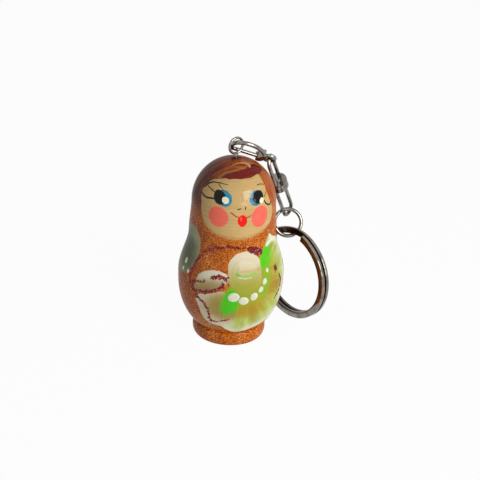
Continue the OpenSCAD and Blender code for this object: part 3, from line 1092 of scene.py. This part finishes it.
    def knot(self, mesh: bmesh.types.BMesh, rng: random.Random) -> None:
        """Scatter the leaf of glitter glue at the neck.

        Args:
            mesh: The shape that takes the dabs.
            rng: Source of the scatter.
        """
        lean = math.radians(self.knot_lean)
        for _ in range(self.knot_dabs):
            a, reach = rng.uniform(0, math.tau), rng.uniform(*self.knot_reach)
            x, y = self.knot_half[0] * reach * math.cos(a), self.knot_half[1] * reach * math.sin(a)
            s = self.knot_at[0] + x * math.cos(lean) - y * math.sin(lean)
            h = self.knot_at[1] + x * math.sin(lean) + y * math.cos(lean)
            size = rng.uniform(*self.knot_dab) * MM
            shape = Matrix.Diagonal((size, size, size * self.knot_flat, 1.0))
            bmesh.ops.create_icosphere(mesh, subdivisions=1, radius=1.0, matrix=self.spot(s, h) @ shape)

    def glue_line(self, path: Sequence[Point], width: float, fill: float,
                  rng: random.Random) -> bpy.types.Mesh:
        """Scatter dabs of glitter glue along a line.

        Args:
            path: Points in order.
            width: Width of the scatter.
            fill: How thickly the dabs lie.
            rng: Source of the scatter.

        Returns:
            The dabs as a mesh.
        """
        dabs = bmesh.new()
        spread = width * self.line_spread
        density = self.dabs_per_mm * fill * max(1.0, width / self.thin_line)
        for (ax, ay), (bx, by) in zip(path, path[1:]):
            for _ in range(max(1, round(math.hypot(bx - ax, by - ay) * density))):
                t = rng.random()
                s = ax + (bx - ax) * t + rng.gauss(0, spread)
                h = ay + (by - ay) * t + rng.gauss(0, spread)
                size = rng.uniform(*self.line_dab) * MM
                place = self.spot(s, h) @ Matrix.Rotation(rng.uniform(0, 6.28), 4, "Z")
                long = size * rng.uniform(*self.line_stretch)
                shape = Matrix.Diagonal((long, size, size * self.line_flat, 1.0))
                bmesh.ops.create_icosphere(dabs, subdivisions=1, radius=1.0, matrix=place @ shape)
        made = bpy.data.meshes.new("dabs")
        dabs.to_mesh(made)
        dabs.free()
        return made

    def trails(self) -> bpy.types.Object:
        """Lines and leaves of maroon glitter glue, laid as small raised dabs.

        Returns:
            The piece.
        """
        rng = random.Random(self.seed)
        mesh = bmesh.new()
        self.knot(mesh, rng)
        for path, width, fill in GLUE_LINES:
            line = self.glue_line(path, width, fill, rng)
            mesh.from_mesh(line)
            bpy.data.meshes.remove(line)
        made = piece("glitter_trails", mesh, self.maroon.material(), self.crisp_dabs)
        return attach(made, "doll")

    def build(self) -> None:
        """Make the figure and its ornament."""
        self.body()
        self.dots()
        self.trails()


@dataclass
class KeyRing:
    """The sprung double coil that keys go on, in millimetres and degrees."""

    radius: float = 11.625
    band: float = 1.75
    strip: float = 0.95
    rise: float = 1.4
    start: float = 44.0
    flat_turn: float = 300.0
    step_turn: float = 60.0
    rounding: float = 0.26
    round_steps: int = 4
    flat_steps: int = 100
    rise_steps: int = 20

    def build(self, finish: bpy.types.Material) -> bpy.types.Object:
        """Wind the rounded strip twice round, with one step between the turns.

        Args:
            finish: The ring's metal.

        Returns:
            The piece.
        """
        mesh = bmesh.new()
        bmesh.ops.create_grid(mesh, x_segments=1, y_segments=1, size=0.5 * MM)
        bmesh.ops.scale(mesh, vec=(self.band, self.strip, 1.0), verts=mesh.verts)
        bmesh.ops.bevel(mesh, geom=mesh.verts[:], offset=self.rounding * MM, offset_type="OFFSET",
                        affect="VERTICES", segments=self.round_steps, profile=0.5, material=-1)
        bmesh.ops.delete(mesh, geom=mesh.faces[:], context="FACES_ONLY")
        axis, middle = Vector(RING_AXIS), Vector(RING_MIDDLE) * MM
        out = Matrix.Rotation(math.radians(self.start), 3, axis) @ Vector((0, 0, 1))
        turn = Matrix((out, axis, out.cross(axis))).transposed().to_4x4()
        place = Matrix.Translation(middle + out * self.radius * MM - axis * self.rise / 2 * MM) @ turn
        bmesh.ops.transform(mesh, matrix=place, verts=mesh.verts)
        last: list[Any] = mesh.verts[:] + mesh.edges[:]
        level = [ease(i / self.rise_steps) for i in range(self.rise_steps + 1)]
        lifts = [(b - a) * self.rise * MM for a, b in zip(level, level[1:])]
        flat = (self.flat_turn, self.flat_steps, 0.0)
        rising = [(self.step_turn / self.rise_steps, 1, lift) for lift in lifts]
        for angle, steps, lift in [flat, *rising, flat]:
            last = bmesh.ops.spin(mesh, geom=last, cent=middle, axis=axis, dvec=axis * lift,
                                  angle=math.radians(angle), steps=steps, use_merge=False,
                                  use_duplicate=False)["geom_last"]
        bmesh.ops.remove_doubles(mesh, verts=mesh.verts, dist=FINE_WELD)
        bmesh.ops.holes_fill(mesh, edges=[e for e in mesh.edges if e.is_boundary], sides=0)
        bmesh.ops.recalc_face_normals(mesh, faces=mesh.faces)
        made = piece("key_ring", mesh, finish)
        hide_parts("split_ring")
        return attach(made, "split_ring")


@dataclass
class Fittings:
    """Screw eye, claw clasp, swivel, jump ring and key ring."""

    nickel: PlatedFinish = PlatedFinish(Metal.NICKEL)
    steel: PlatedFinish = PlatedFinish(Metal.STEEL, "958f86", "6b655d", 0.1)
    spring: PlatedFinish = PlatedFinish(Metal.SPRING, "b0aca6", "6e6a66", 0.25)

    def build(self) -> None:
        """Dress every fitting."""
        nickel, steel, spring = self.nickel.material(), self.steel.material(), self.spring.material()
        owners = {n: body for body, names in frame["record"]["behaviour"]["bodies"].items() for n in names}
        renamed = {"screw_eye": "eye_screw", "claw_body": "claw_shell", "claw_gate": "claw_lever",
                   "gate_pin": "lever_pin", "upper_yoke": "swivel_upper", "swivel_rivet": "swivel_pin",
                   "lower_yoke": "swivel_lower", "jump_ring": "link_ring"}
        for node, name in renamed.items():
            smooth_copy(node, name, nickel, owners[node])
        smooth_copy("gate_spring", "lever_spring", spring, owners["gate_spring"])
        KeyRing().build(steel)


@dataclass(frozen=True)
class Lamp:
    """A soft rectangular lamp: degrees round from the front and up, metres and watts."""

    name: str
    az: float
    el: float
    far: float
    size: Point
    power: float


@dataclass
class Studio:
    """Pale floor, soft light and the camera; sizes in metres unless they say otherwise."""

    lamps: tuple[Lamp, ...] = (
        Lamp("window", 32.0, 27.0, 0.42, (0.2, 0.16), 1.02),
        Lamp("window_sill", 29.0, 8.0, 0.42, (0.32, 0.08), 0.4),
        Lamp("fill", -40.0, 50.0, 0.5, (0.3, 0.3), 0.06))
    lamp_aim: float = 0.026
    surround: float = 0.2
    floor_half: float = 1.5
    floor_gap: float = 0.00002
    floor_white: float = 0.96
    floor_greys: Span = (0.86, 0.9)
    lens_mm: float = 95.15
    sensor_mm: float = 36.0
    shift: Point = (0.0169, 0.0123)
    near: float = 0.01
    distance: float = 0.32

    def plate(self) -> bpy.types.Material:
        """White that lights up to what looks straight at it, less a share kept for shadow.

        Returns:
            The material.
        """
        material, board, shader = fresh("floor_white")
        fix(shader, Roughness=0.9, Specular_IOR_Level=0.0)
        mottle = board.grain(board.vector(*board.here()), 0.02, 2.0)
        greys = [(float(i), (grey, grey, grey, 1)) for i, grey in enumerate(self.floor_greys)]
        feed(shader, Base_Color=board.node("ShaderNodeValToRGB", {"stops": greys}, {0: mottle}))
        glow = board.node("ShaderNodeEmission", None, {0: (1, 1, 1, 1), 1: 1.0})
        matt = Wire(board, shader.outputs[0])
        shown = board.seen() * self.floor_white
        mix = board.node("ShaderNodeMixShader", None, {0: shown, 1: matt, 2: glow})
        out = next(n for n in material.node_tree.nodes if n.type == "OUTPUT_MATERIAL")
        board.tree.links.new(mix.socket, out.inputs[0])
        return material

    def floor(self) -> None:
        """Lay the floor just under the figure."""
        mesh = bmesh.new()
        bmesh.ops.create_grid(mesh, x_segments=2, y_segments=2, size=self.floor_half)
        bmesh.ops.translate(mesh, verts=mesh.verts, vec=(0, 0, -self.floor_gap))
        piece("floor", mesh, self.plate())

    def hang(self, lamp: Lamp) -> None:
        """Hang a lamp that looks at the figure.

        Args:
            lamp: The lamp.
        """
        data = bpy.data.lights.new(lamp.name, "AREA")
        data.shape, data.energy = "RECTANGLE", lamp.power
        data.size, data.size_y = lamp.size
        a, e = math.radians(lamp.az), math.radians(lamp.el)
        away = Vector((math.sin(a) * math.cos(e), -math.cos(a) * math.cos(e), math.sin(e)))
        turn = away.to_track_quat("Z", "Y").to_matrix().to_4x4()
        made = bpy.data.objects.new(lamp.name, data)
        made.matrix_world = Matrix.Translation(away * lamp.far + Vector((0, 0, self.lamp_aim))) @ turn
        bpy.context.scene.collection.objects.link(made)

    def world(self) -> None:
        """Even white surround, darker in what it lights than in what is seen."""
        world = bpy.data.worlds.new("studio")
        bpy.context.scene.world = world
        world.use_nodes = True
        board = Board(world.node_tree)
        back = next(n for n in world.node_tree.nodes if n.type == "BACKGROUND")
        back.inputs[0].default_value = (1, 1, 1, 1)
        strength = board.seen() * (1 - self.surround) + self.surround
        board.tree.links.new(strength.socket, back.inputs[1])

    def camera(self) -> None:
        """Stand the camera where the picture was taken from."""
        data = bpy.data.cameras.new("camera")
        data.lens, data.sensor_width = self.lens_mm, self.sensor_mm
        data.shift_x, data.shift_y = self.shift
        data.clip_start = self.near
        made = bpy.data.objects.new("camera", data)
        back = Vector(VIEW_BACK)
        turn = Matrix((VIEW_RIGHT, VIEW_UP, back)).transposed().to_4x4()
        made.matrix_world = Matrix.Translation(Vector((0, 0, AIM_Z * MM)) + back * self.distance) @ turn
        bpy.context.scene.collection.objects.link(made)
        bpy.context.scene.camera = made

    def build(self) -> None:
        """Set up the studio."""
        for old in [o for o in bpy.data.objects if o.name in ("Cube", "Light", "Camera")]:
            bpy.data.objects.remove(old)
        bpy.context.scene.view_settings.view_transform = "Standard"
        self.floor()
        for lamp in self.lamps:
            self.hang(lamp)
        self.world()
        self.camera()


def main() -> None:
    """Build the figure, its fittings and the studio."""
    logging.basicConfig(level=logging.INFO, format="%(name)s %(message)s")
    DollFigure().build()
    Fittings().build()
    Studio().build()


if __name__ == "__main__":
    main()
